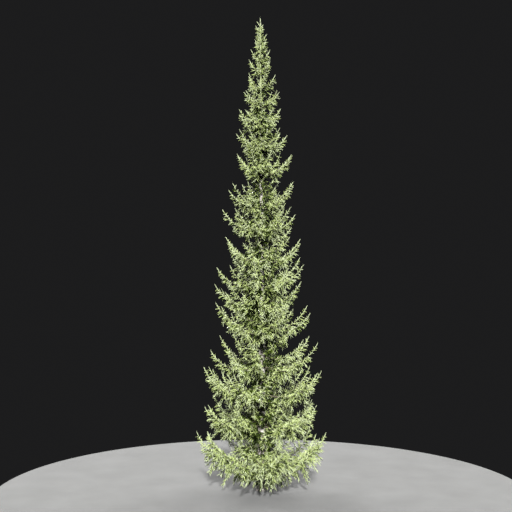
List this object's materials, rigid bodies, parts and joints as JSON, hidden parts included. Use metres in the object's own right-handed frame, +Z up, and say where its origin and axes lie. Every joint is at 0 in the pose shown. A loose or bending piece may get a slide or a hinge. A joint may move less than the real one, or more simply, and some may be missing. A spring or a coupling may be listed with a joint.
{
  "type": "norway spruce tree",
  "caption": "Tall narrow Norway spruce: a straight tapering trunk and whorls of boughs that sag, then turn up at their tips, hung with drooping sprays of needles; rooted in level ground.",
  "frame": {"origin": "middle of the trunk's flat cut at ground level", "axes": "+Z up the trunk, -Y towards the viewer of the picture, +X to that viewer's right"},
  "size_m": [5.7589, 5.8643, 19.5],
  "materials": {
    "bark": "rough scaly grey-brown bark",
    "needles": "pale green needles, satin"
  },
  "bodies": {
    "root": {"trunk": "bark", "bough_01_a": "bark", "foliage_01_a": "needles", "bough_01_b": "bark", "foliage_01_b": "needles", "bough_01_c": "bark", "foliage_01_c": "needles", "bough_01_d": "bark", "foliage_01_d": "needles", "bough_02_a": "bark", "foliage_02_a": "needles", "bough_02_b": "bark", "foliage_02_b": "needles", "bough_02_c": "bark", "foliage_02_c": "needles", "bough_02_d": "bark", "foliage_02_d": "needles", "bough_03_a": "bark", "foliage_03_a": "needles", "bough_03_b": "bark", "foliage_03_b": "needles", "bough_03_c": "bark", "foliage_03_c": "needles", "bough_03_d": "bark", "foliage_03_d": "needles", "foliage_04_a": "needles", "foliage_04_b": "needles", "foliage_04_c": "needles", "foliage_05_a": "needles", "foliage_05_b": "needles", "foliage_05_c": "needles", "foliage_06_a": "needles", "foliage_06_b": "needles", "foliage_06_c": "needles", "foliage_07_a": "needles", "foliage_07_b": "needles", "foliage_07_c": "needles", "foliage_08_a": "needles", "foliage_08_b": "needles", "foliage_08_c": "needles", "foliage_09_a": "needles", "foliage_09_b": "needles", "foliage_09_c": "needles", "foliage_10_a": "needles", "foliage_10_b": "needles", "foliage_10_c": "needles", "foliage_11_a": "needles", "foliage_11_b": "needles", "foliage_11_c": "needles", "foliage_12_a": "needles", "foliage_12_b": "needles", "foliage_12_c": "needles", "foliage_13_a": "needles", "foliage_13_b": "needles", "foliage_13_c": "needles", "foliage_14_a": "needles", "foliage_14_b": "needles", "foliage_14_c": "needles", "foliage_top": "needles"}
  },
  "joints": []
}
